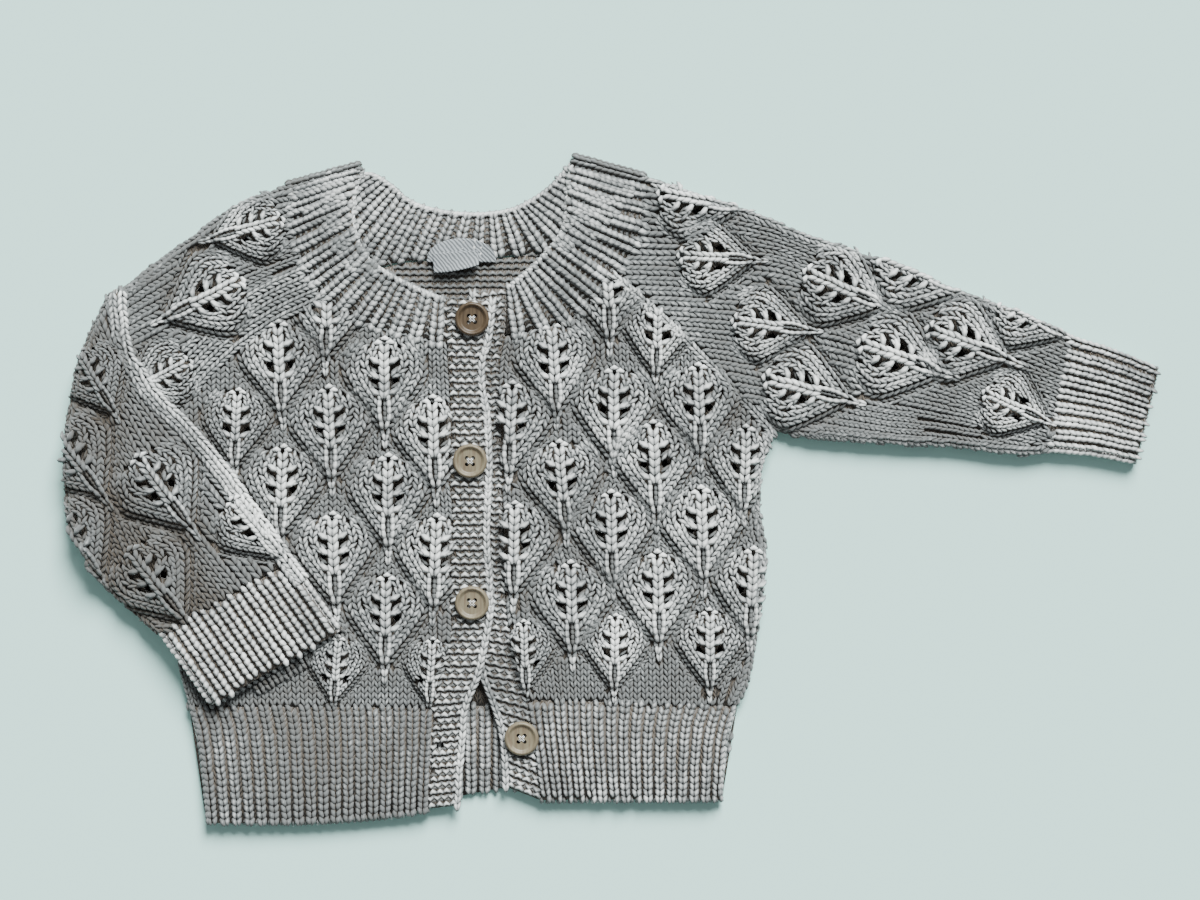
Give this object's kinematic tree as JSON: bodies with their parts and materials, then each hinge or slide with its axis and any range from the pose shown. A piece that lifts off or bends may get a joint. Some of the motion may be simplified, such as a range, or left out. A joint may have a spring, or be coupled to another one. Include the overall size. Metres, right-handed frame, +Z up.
{
  "type": "baby cardigan",
  "caption": "Hand-knit style baby cardigan with leaf lace, raglan sleeves and round wooden buttons, laid flat with one sleeve folded over.",
  "frame": {"origin": "centre of the outline in plan, on the surface that the garment lies on", "axes": "+X to the wearer's left, along the stretched sleeve; +Y from the hem to the neck; +Z up, out of the front"},
  "size_m": [0.544, 0.331, 0.0139],
  "materials": {
    "wool": "matte knitted wool",
    "button": "satin",
    "label": "woven ribbon"
  },
  "bodies": {
    "root": {"right_front": "wool", "left_front": "wool", "back": "wool", "right_hem_rib": "wool", "left_hem_rib": "wool", "back_hem_rib": "wool", "buttonhole_band": "wool", "button_band": "wool", "neckband": "wool", "left_sleeve_front": "wool", "left_sleeve_back": "wool", "right_sleeve_front": "wool", "right_sleeve_back": "wool", "left_cuff": "wool", "right_cuff": "wool", "button_1": "button", "button_2": "button", "button_3": "button", "button_4": "button", "neck_label": "label", "size_label": "label"}
  },
  "joints": []
}
